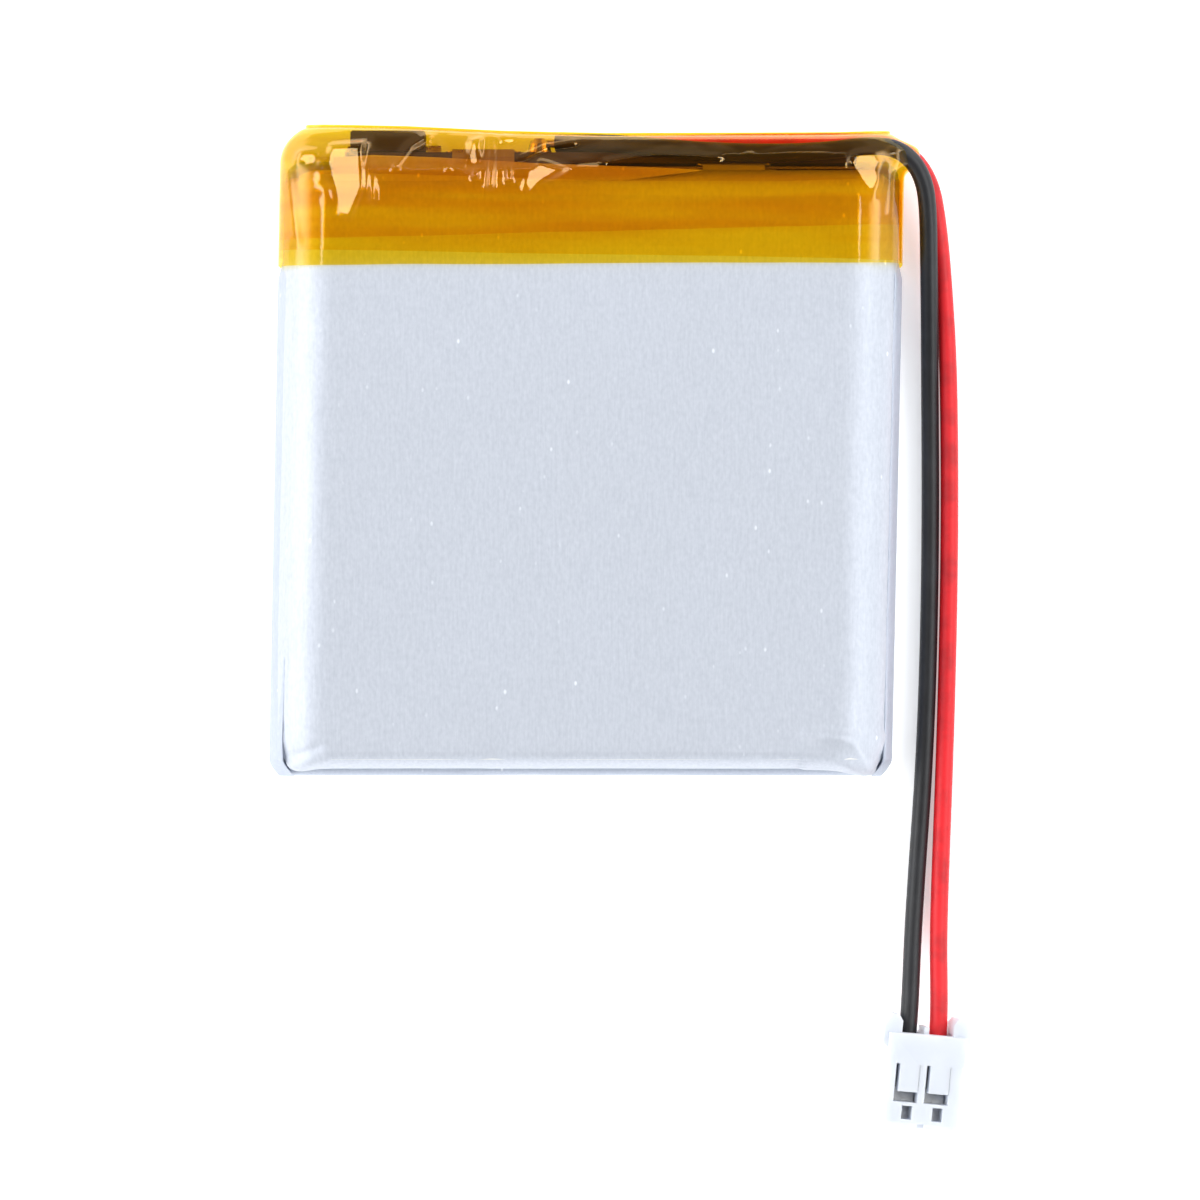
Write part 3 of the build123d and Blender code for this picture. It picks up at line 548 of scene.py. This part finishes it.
# crumples: a line in x and y, its height and how far it spreads
CREASES = [
    ([(-14.4, 19.9), (-14.1, 17.6), (-14.0, 16.0)], 0.12, 0.26),
    ([(-12.6, 18.3), (-11.7, 19.6), (-10.6, 20.4)], 0.20, 0.26),
    ([(-9.2, 18.2), (-9.7, 19.4), (-10.4, 20.3)], 0.14, 0.24),
    ([(-7.4, 20.7), (-7.3, 19.2), (-7.5, 17.6)], 0.15, 0.22),
    ([(-6.6, 20.7), (-6.4, 19.0), (-6.5, 17.0)], 0.17, 0.24),
    ([(-5.8, 20.7), (-5.5, 19.2), (-5.3, 17.4)], 0.14, 0.22),
    ([(-4.6, 18.9), (-3.0, 19.8), (-1.2, 20.2)], 0.15, 0.26),
    ([(1.0, 18.6), (4.0, 19.1), (8.0, 18.9)], 0.10, 0.28),
    ([(-11.9, 15.3), (-5.0, 15.05), (0.9, 14.3)], 0.03, 0.18),
    ([(-12.2, 13.3), (-9.0, 13.7), (-7.4, 13.9)], 0.03, 0.2),
    ([(19.0, 19.4), (19.3, 17.5), (19.2, 15.2)], 0.12, 0.20),
    ([(-19.75, 19.0), (-19.3, 16.0), (-18.8, 13.4)], 0.09, 0.20),
    ([(-18.4, 19.2), (-17.2, 18.6), (-15.4, 18.9)], 0.14, 0.26),
]
# flats where the film is pulled tight over an edge: corners anticlockwise, then the rise along x and y
FLATS = [
    ([(-16.1, 15.0), (-15.45, 14.8), (-14.6, 16.8), (-14.6, 19.9), (-16.9, 19.7), (-17.24, 18.4)],
     0.152, -0.066),
    ([(-4.4, 16.5), (-3.9, 16.75), (-2.3, 17.5), (-1.5, 18.1), (-3.4, 18.75), (-4.4, 17.4)],
     0.178, -0.065),
    ([(16.3, 18.5), (17.2, 17.0), (18.0, 16.2), (18.46, 16.7), (18.65, 17.56), (18.0, 19.45),
      (16.6, 19.3)], -0.151, -0.066),
    ([(-8.1, 18.0), (-7.2, 18.2), (-7.1, 20.4), (-8.0, 20.2)], 0.170, -0.066),
    ([(-19.2, 18.4), (-17.6, 18.2), (-17.4, 19.4), (-18.9, 19.3)], 0.148, -0.066),
    ([(-6.0, 20.0), (-4.9, 20.0), (-4.9, 20.6), (-6.0, 20.6)], -0.190, -0.066),
]
FLAT_LIFT = 0.16              # keeps the low side of each flat clear of the film
FLAT_EDGE = 14                # how sharply a flat ends, for each millimetre


def tape_relief(points):
    """How far the tape stands off its smooth shape: more towards the head, most at the crumples."""
    head = np.clip((points[:, 1] - 15.5) / 3.0, 0, 1)
    relief = 0.010 * ripple(points, (6.0, 5.0, 6.0), 5.0)
    relief += 0.05 * head * ripple(points, (2.6, 1.9, 2.6), 8.0)
    relief += 0.05 * head * np.abs(ripple(points, (2.2, 1.1, 2.2), 14.0))
    for line, height, width in CREASES:
        relief += height * ridge(points, line, width)
    return relief


def press_flats(points, upper):
    """Draws the points inside each flat to its plane. upper is 1 on the face and 0 underneath."""
    for corners, rise_x, rise_y in FLATS:
        inside = upper.copy()
        for (ax, ay), (bx, by) in zip(corners, corners[1:] + corners[:1]):
            off_x, off_y = points[:, 0] - ax, points[:, 1] - ay
            depth = ((bx - ax) * off_y - (by - ay) * off_x) / math.hypot(bx - ax, by - ay)
            inside = inside / (1 + np.exp(np.clip(-depth * FLAT_EDGE, -40, 40)))
        x, y, z = (inside @ points) / inside.sum()
        plane = z + FLAT_LIFT + rise_x * (points[:, 0] - x) + rise_y * (points[:, 1] - y)
        points[:, 2] += inside * (plane - points[:, 2])


def side_curve(half, top, round_down, below):
    """The tape over one long edge, from the face down the wall and in under the cell: x and z."""
    turns = np.linspace(0, math.pi / 2, 22)[1:]
    down = np.linspace(0, 1, 9)[1:-1]
    low_turns = np.linspace(0, math.pi / 2, 7)
    wall_top, wall_low = top - round_down, below + TAPE_HEEL
    roll = np.column_stack([half - TAPE_ROUND[0] * (1 - np.sin(turns)), top - round_down * (1 - np.cos(turns))])
    wall = np.column_stack([np.full(len(down), half), wall_top + (wall_low - wall_top) * down])
    heel = np.column_stack([half - TAPE_HEEL * (1 - np.cos(low_turns)),
                            wall_low - TAPE_HEEL * np.sin(low_turns)])
    return np.vstack([roll, wall, heel])


def tape_section(y, lift):
    """The tape's outline across the cell at one y, from the left edge of the face round to it."""
    ys, lefts, rights = zip(*HEAD_FALL)
    left, right = np.interp(y, ys, lefts), np.interp(y, ys, rights)
    below = np.interp(y, *zip(*BACK_RISE))
    round_down = min(TAPE_ROUND[1], (left - below) * 0.45)
    # past here the left corner is cut round and the right one, over the leads, hardly at all
    past = max(y - 18.7, 0.0)
    half_left = TAPE_HALF - 3.0 * (1 - math.sqrt(max(1 - (past / 2.45) ** 2, 0.0))) + lift
    half_right = TAPE_HALF - 0.9 * (past / 2.1) ** 3 + lift
    across = np.linspace(TAPE_ROUND[0] - half_left, half_right - TAPE_ROUND[0], TAPE_COLUMNS)
    level = left + (right - left) * np.clip((across + 4) / 8, 0, 1)
    top = np.column_stack([across, level + lift])
    right_side = side_curve(half_right, right + lift, round_down, below - lift)
    left_side = side_curve(half_left, left + lift, round_down, below - lift) * (-1, 1)
    under_x = np.linspace(half_right - TAPE_HEEL, TAPE_HEEL - half_left, UNDER_COLUMNS + 2)[1:-1]
    under = np.column_stack([under_x, np.full(UNDER_COLUMNS, below - lift)])
    return np.vstack([top, right_side, under, left_side[::-1]])


SINGLE_WRAP = (0.91, 0.90, 0.40, 1.0)


def polyimide(name, passed):
    """Clear amber film. passed is the light that one wrap lets through."""
    material = new_material(name)
    place = object_place(material, (1, 1, 1))
    axes = add_node(material, "ShaderNodeSeparateXYZ", {}, {"Vector": place})
    # only one wrap reaches round behind the head's end, so the light that comes up through it is yellow
    over_front = add_node(material, "ShaderNodeMapRange", {},
                          {"Value": axes.outputs["Z"], "From Min": 2.4, "From Max": 3.6})
    before_end = add_node(material, "ShaderNodeMapRange", {},
                          {"Value": axes.outputs["Y"], "From Min": 18.4, "From Max": 17.4})
    lapped = add_node(material, "ShaderNodeMath", {"operation": "MAXIMUM"},
                      {0: over_front.outputs["Result"], 1: before_end.outputs["Result"]})
    # the adhesive wets out unevenly, in bands along the tape
    band_place = object_place(material, (0.07, 1, 0.4))
    bands = add_node(material, "ShaderNodeTexNoise", {}, {"Vector": band_place, "Scale": 0.75, "Detail": 3.0})
    wetting = add_node(material, "ShaderNodeMapRange", {},
                       {"Value": bands.outputs["Fac"], "From Min": 0.38, "From Max": 0.62})
    dry = (0.98 * passed[0], 0.93 * passed[1], 0.75 * passed[2], 1.0)
    uneven = add_node(material, "ShaderNodeMix", {"data_type": "RGBA"},
                      {"Factor": wetting.outputs["Result"], "A": dry, "B": (*passed, 1.0)})
    tint = add_node(material, "ShaderNodeMix", {"data_type": "RGBA"},
                    {"Factor": lapped.outputs["Value"], "A": SINGLE_WRAP, "B": uneven.outputs["Result"]})
    clear = add_node(material, "ShaderNodeBsdfTransparent", {}, {"Color": tint.outputs["Result"]})
    # a sharp gloss on the outer side, with a faint undulation of the film, and none on the adhesive
    waviness = add_node(material, "ShaderNodeTexNoise", {}, {"Vector": place, "Scale": 1.4, "Detail": 3.0})
    bump = add_node(material, "ShaderNodeBump", {},
                    {"Height": waviness.outputs["Fac"], "Strength": 0.25, "Distance": 0.02 * MM})
    gloss = add_node(material, "ShaderNodeBsdfPrincipled", {},
                     {"Base Color": (1, 1, 1, 1), "Roughness": 0.05, "Metallic": 1.0,
                      "Normal": bump.outputs["Normal"]})
    reflected = add_node(material, "ShaderNodeFresnel", {}, {"IOR": 1.5, "Normal": bump.outputs["Normal"]})
    facing = add_node(material, "ShaderNodeNewGeometry", {}, {})
    outer_side = add_node(material, "ShaderNodeMath", {"operation": "SUBTRACT"},
                          {0: 1.0, 1: facing.outputs["Backfacing"]})
    share = add_node(material, "ShaderNodeMath", {"operation": "MULTIPLY"},
                     {0: reflected.outputs["Fac"], 1: outer_side.outputs["Value"]})
    film = add_node(material, "ShaderNodeMixShader", {},
                    {0: share.outputs["Value"], 1: clear.outputs["BSDF"], 2: gloss.outputs["BSDF"]})
    return finish_material(material, film.outputs["Shader"])


def tape_wrap(name, lift, edge, material):
    """One wrap. edge is the line of its cut edge on the face, as y at the left and right of the cell."""
    first = tape_section(13.0, lift)
    share = np.clip((first[:, 0] + 20) / 40, 0, 1)
    start = np.where(first[:, 1] > 3.0, edge[0] + (edge[1] - edge[0]) * share, sum(edge) / 2)
    cut_line = np.column_stack([first[:, 0], np.zeros(len(first)), first[:, 1]])
    start += 0.05 * ripple(cut_line, 5.0, 40 + lift * 50)
    rows = []
    end = HEAD_FALL[-1][0]
    for row in range(TAPE_ROWS + 1):
        done = 1 - (1 - row / TAPE_ROWS) ** 1.35
        ys = start + (end + lift - start) * done
        section = tape_section(min(float(np.mean(ys)), end), lift)
        rows.append(np.column_stack([section[:, 0], ys, section[:, 1]]))
    # the end closes over the board in a low bulge
    last = rows[-1]
    centre = (last[:, 2].max() + last[:, 2].min()) / 2
    for row in range(1, HEAD_ROWS + 1):
        left = 1 - row / HEAD_ROWS
        turn = math.pi / 2 * (1 - left)
        closing = last.copy()
        closing[:, 0] *= 1 - 0.03 * (1 - math.cos(turn))
        closing[:, 1] += 0.12 * math.sin(turn)
        closing[:, 2] = centre + (last[:, 2] - centre) * max(left, 0.02)
        rows.append(closing)
    points = np.vstack(rows)
    upper = np.clip((points[:, 2] - 2.5) / 1.5, 0, 1)
    points[:, 2] += tape_relief(points) * upper
    press_flats(points, upper)
    # the wraps are pulled in at the middle of the head, and reach out along the leads at the corner
    points[:, 1] += np.interp(points[:, 0], *zip(*HEAD_DIP)) * np.clip((points[:, 1] - 18.6) / 2.2, 0, 1)
    mouth = np.exp(-((points[:, 1] - 19.05) / 0.95) ** 4) * np.clip((points[:, 0] - 17.5) / 2.5, 0, 1)
    points[:, 0] += 0.95 * mouth * np.clip((points[:, 2] - 1.8) / 0.8, 0, 1)
    return add_piece(name, laid_askew(points, TAPE_HALF + 0.15), ring_faces(len(rows), len(last)), material)


for name, node_name, lift, edge, passed in (
    ("tape_first_wrap", "tape_inner", 0.03, (13.6, 14.6), (1.0, 0.90, 0.45)),
    ("tape_second_wrap", "tape_middle", 0.09, (12.95, 12.3), (1.0, 0.89, 0.30)),
    ("tape_third_wrap", "tape_outer", 0.15, (11.95, 12.1), (1.0, 0.80, 0.13)),
):
    wrap = tape_wrap(name, lift, edge, polyimide(name.replace("_", " "), passed))
    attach(wrap, "root")
    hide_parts(node_name)


# ---- Board cover strip ----
# A narrow strip of the same amber tape that holds the protection board to the head seal before the
# wraps go on. It lies over the face's rolled edge and is seen as a darker band through the wraps.
COVER_FOOT = [(-18.2, 17.75), (-14.2, 17.80), (-9.7, 17.68), (0.9, 17.33), (12.4, 17.30),
              (16.9, 17.45), (19.2, 17.85)]
COVER_HEAD = [(0.0, 18.9)]
STRIP_ROWS, STRIP_COLUMNS = 12, 190


def strip_under_tape(name, foot_line, head_line, start, end, drop, material):
    """A thin strip that lies drop under the wraps, between two lines given as x and y."""
    ys, lefts, _ = zip(*HEAD_FALL)
    grid = []
    for row in range(STRIP_ROWS + 1):
        for column in range(STRIP_COLUMNS):
            x = start + (end - start) * column / (STRIP_COLUMNS - 1)
            foot, head = np.interp(x, *zip(*foot_line)), np.interp(x, *zip(*head_line))
            y = foot + (head - foot) * row / STRIP_ROWS
            past = max(abs(x) - 16.6, 0.0) / TAPE_ROUND[0]
            fall = TAPE_ROUND[1] * (1 - math.sqrt(max(1 - past ** 2, 0.0)))
            grid.append((x, y, np.interp(y, ys, lefts) - drop - fall))
    points = np.array(grid)
    points[:, 2] += np.minimum(tape_relief(points), 0)
    firsts = [r * STRIP_COLUMNS + c for r in range(STRIP_ROWS) for c in range(STRIP_COLUMNS - 1)]
    faces = [(i, i + 1, i + STRIP_COLUMNS + 1, i + STRIP_COLUMNS) for i in firsts]
    return add_piece(name, laid_askew(points, TAPE_HALF + 0.15), faces, material)


cover = strip_under_tape("board_cover_strip", COVER_FOOT, COVER_HEAD, -18.2, 19.2, 0.03,
                         polyimide("board cover strip", (0.93, 0.86, 0.45)))
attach(cover, "root")


# ---- Turned up film ----
# The laminated film's trimmed head seal, turned up in front of the board under the tape and highest
# at its left end. It hides the board's lower edge there.
TURN_UP_HEAD = [(-16.6, 18.85), (-14.1, 19.02), (-10.2, 18.88), (-5.7, 18.61), (-3.4, 18.47),
                (3.5, 18.22), (7.0, 18.05)]
TURN_UP_FOOT = [(-16.6, 17.30), (2.0, 17.35), (7.0, 18.00)]

turn_up = strip_under_tape("turned_up_film", TURN_UP_FOOT, TURN_UP_HEAD, -16.6, 7.0, 0.25, FILM)
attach(turn_up, "root")


# ---- What the tape lets through ----
# The protection board stands on edge behind the tape: glass-epoxy laminate with black solder mask,
# moulded epoxy packages, bright tinned and gold-plated metal, nickel strip and solder.
def plain_material(name, colour, other, scale, roughness, metallic, ior):
    """A surface that varies a little in colour and polish, over scale in millimetres."""
    material = new_material(name)
    place = object_place(material, (1, 1, 1))
    cloud = add_node(material, "ShaderNodeTexNoise", {}, {"Vector": place, "Scale": 1 / scale, "Detail": 4.0})
    tone = add_node(material, "ShaderNodeMix", {"data_type": "RGBA"},
                    {"Factor": cloud.outputs["Fac"], "A": to_linear(colour), "B": to_linear(other)})
    rough = add_node(material, "ShaderNodeMapRange", {},
                     {"Value": cloud.outputs["Fac"], "To Min": roughness - 0.07, "To Max": roughness + 0.07})
    bump = add_node(material, "ShaderNodeBump", {},
                    {"Height": cloud.outputs["Fac"], "Strength": 0.2, "Distance": 0.01 * MM})
    shader = add_node(material, "ShaderNodeBsdfPrincipled", {},
                      {"Base Color": tone.outputs["Result"], "Roughness": rough.outputs["Result"],
                       "Metallic": metallic, "IOR": ior, "Normal": bump.outputs["Normal"]})
    return finish_material(material, shader.outputs["BSDF"])


# name, two colours, the size of its mottle, roughness, metallic, IOR, and the nodes that have it
NODE_FINISHES = [
    ("black masked laminate", "#2A2018", "#3A2C1E", 0.5, 0.45, 0.0, 1.5, ["circuit_board"]),
    ("moulded epoxy", "#1C1A19", "#272423", 0.2, 0.55, 0.0, 1.55, ["power_switch", "protection_ic"]),
    ("tinned lead frame", "#CFCFCC", "#B8B7B3", 0.3, 0.28, 1.0, 1.5,
     ["power_switch_pins", "protection_ic_pins", "chip_terminals"]),
    ("glazed alumina", "#1E1D20", "#2A292D", 0.2, 0.35, 0.0, 1.6, ["chip_resistors"]),
    ("barium titanate", "#8A7458", "#A08A6B", 0.3, 0.45, 0.0, 1.6, ["chip_capacitor"]),
    ("gold plated copper", "#D9B15A", "#C79C45", 0.4, 0.25, 1.0, 1.5, ["board_pads"]),
    ("nickel plate", "#C9C3B8", "#B5AFA5", 0.6, 0.3, 1.0, 1.5,
     ["weld_plate_positive", "weld_plate_negative"]),
    ("rolled nickel", "#CFC9BE", "#BBB5AA", 0.8, 0.3, 1.0, 1.5, ["tab_negative"]),
    ("rolled aluminium", "#DADCDE", "#C9CBCE", 0.8, 0.3, 1.0, 1.5, ["tab_positive"]),
    ("polypropylene film", "#E9E6D8", "#DEDBCB", 0.6, 0.4, 0.0, 1.49,
     ["tab_seal_positive", "tab_seal_negative"]),
    ("barley paper", "#B8A87E", "#A3946B", 0.25, 0.8, 0.0, 1.5, ["board_insulator"]),
    ("solder", "#C9CACB", "#B4B5B7", 0.4, 0.22, 1.0, 1.5, ["solder_joints"]),
    ("tinned strands", "#CBCBC9", "#B5A48E", 0.2, 0.3, 1.0, 1.5,
     ["strands_board_end", "strands_plug_end"]),
    # painted light: the contacts are coloured lighter than the other tinned metal, against the shade in the
    # plug's cavities
    ("tinned bronze", "#EDEDEB", "#DCDBD8", 0.3, 0.52, 1.0, 1.5, ["contact_positive", "contact_negative"]),
    ("coated aluminium foil", "#2B2B2D", "#3A3A3C", 0.4, 0.8, 0.0, 1.5, ["cathode_sheet"]),
    ("coated copper foil", "#26262A", "#313135", 0.4, 0.8, 0.0, 1.5, ["anode_sheet"]),
    ("polyethylene separator", "#EFEFEC", "#E4E4E0", 0.8, 0.6, 0.0, 1.5,
     ["separator_inner", "separator_outer"]),
    ("green roll tape", "#3F8F5E", "#4B9C69", 0.8, 0.4, 0.0, 1.5, ["roll_end_tape"]),
]
for *finish, node_names in NODE_FINISHES:
    material = plain_material(*finish)
    for node_name in node_names:
        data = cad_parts[node_name].data
        data.materials.clear()
        data.materials.append(material)


# ---- Studio ----
# A white table inside a soft tent that is dark round the camera and bright low down, most of all
# at both flanks. Two strip lights beside the camera and one behind the head show in the glossy tape.
FLANK_GLOW = (3.6, 3.65, 3.7, 1.0)
TABLE_HALF = 900.0
TABLE_Z = -0.02


def white_table():
    material = new_material("white table")
    place = object_place(material, (1, 1, 1))
    cloud = add_node(material, "ShaderNodeTexNoise", {}, {"Vector": place, "Scale": 0.02})
    tone = add_node(material, "ShaderNodeMix", {"data_type": "RGBA"},
                    {"Factor": cloud.outputs["Fac"], "A": to_linear("#FAFAFA"), "B": to_linear("#FFFFFF")})
    shader = add_node(material, "ShaderNodeBsdfPrincipled", {},
                      {"Base Color": tone.outputs["Result"], "Roughness": 0.9, "Specular IOR Level": 0.0,
                       "Emission Color": (1, 1, 1, 1), "Emission Strength": 0.42})
    return finish_material(material, shader.outputs["BSDF"])


table_points = [(x * TABLE_HALF, y * TABLE_HALF, TABLE_Z) for x, y in ((-1, -1), (1, -1), (1, 1), (-1, 1))]
table = add_piece("table", np.array(table_points), [(0, 1, 2, 3)], white_table())


def soft_box(name, tilt, heading, distance, width, length, radiance):
    """A lamp tilt degrees from straight up, aimed at the head of the cell."""
    light = bpy.data.lights.new(name, "AREA")
    light.shape = "RECTANGLE"
    light.size, light.size_y = width, length
    light.energy = radiance * math.pi * width * length
    lamp = bpy.data.objects.new(name, light)
    lean, turn = math.radians(tilt), math.radians(heading)
    way = Vector((math.sin(lean) * math.cos(turn), math.sin(lean) * math.sin(turn), math.cos(lean)))
    lamp.location = way * distance + Vector((0, 0.010, 0))
    lamp.rotation_euler = way.to_track_quat("Z", "Y").to_euler()
    bpy.context.scene.collection.objects.link(lamp)
    return lamp


soft_box("left strip", 24, 150, 0.6, 0.10, 0.24, 5.6)
soft_box("right strip", 24, 30, 0.6, 0.10, 0.24, 5.6)
soft_box("back strip", 34, 90, 0.6, 0.30, 0.035, 2.0)

world = bpy.data.worlds.new("tent")
bpy.context.scene.world = world
world.use_nodes = True
world.node_tree.nodes.clear()
direction = add_node(world, "ShaderNodeTexCoord", {}, {})
axes = add_node(world, "ShaderNodeSeparateXYZ", {}, {"Vector": direction.outputs["Generated"]})
height_glow = add_node(world, "ShaderNodeValToRGB", {}, {"Fac": axes.outputs["Z"]})
# how bright the tent is at each elevation, in degrees
TENT = [(0.0, 0.60), (20.0, 0.75), (34.0, 0.75), (46.0, 0.30), (66.0, 0.13), (81.0, 0.05)]
ramp = height_glow.color_ramp
while len(ramp.elements) < len(TENT):
    ramp.elements.new(0.5)
for stop, (elevation, glow) in zip(ramp.elements, TENT):
    stop.position = math.sin(math.radians(elevation))
    stop.color = (glow * 0.93, glow * 0.97, glow, 1.0)
# a grey card stands behind the head, so the tape there stays deep in colour
behind = add_node(world, "ShaderNodeMapRange", {"interpolation_type": "SMOOTHSTEP"},
                  {"Value": axes.outputs["Y"], "From Min": 0.10, "From Max": 0.55,
                   "To Min": 1.0, "To Max": 0.65})
shaded = add_node(world, "ShaderNodeVectorMath", {"operation": "SCALE"},
                  {"Vector": height_glow.outputs["Color"], "Scale": behind.outputs["Result"]})
# the right flank's light stands a little higher than the left one's
to_right = add_node(world, "ShaderNodeMath", {"operation": "MULTIPLY"}, {0: axes.outputs["X"], 1: 1.15})
to_left = add_node(world, "ShaderNodeMath", {"operation": "MULTIPLY"}, {0: axes.outputs["X"], 1: -1.0})
sideways = add_node(world, "ShaderNodeMath", {"operation": "MAXIMUM"},
                    {0: to_right.outputs["Value"], 1: to_left.outputs["Value"]})
rise = add_node(world, "ShaderNodeMapRange", {"interpolation_type": "SMOOTHSTEP"},
                {"Value": sideways.outputs["Value"], "From Min": 0.50, "From Max": 0.84})
fade = add_node(world, "ShaderNodeMapRange", {"interpolation_type": "SMOOTHSTEP"},
                {"Value": sideways.outputs["Value"], "From Min": 0.95, "From Max": 0.88})
flank = add_node(world, "ShaderNodeMath", {"operation": "MULTIPLY"},
                 {0: rise.outputs["Result"], 1: fade.outputs["Result"]})
tent = add_node(world, "ShaderNodeMix", {"data_type": "RGBA", "blend_type": "ADD"},
                {"Factor": flank.outputs["Value"], "A": shaded.outputs["Vector"], "B": FLANK_GLOW})
background = add_node(world, "ShaderNodeBackground", {}, {"Color": tent.outputs["Result"], "Strength": 1.0})
add_node(world, "ShaderNodeOutputWorld", {}, {"Surface": background.outputs["Background"]})
# light gets about inside the plug and between the wraps
bpy.context.scene.cycles.max_bounces = 16
bpy.context.scene.cycles.diffuse_bounces = 10
bpy.context.scene.cycles.glossy_bounces = 8
bpy.context.scene.cycles.transparent_max_bounces = 24
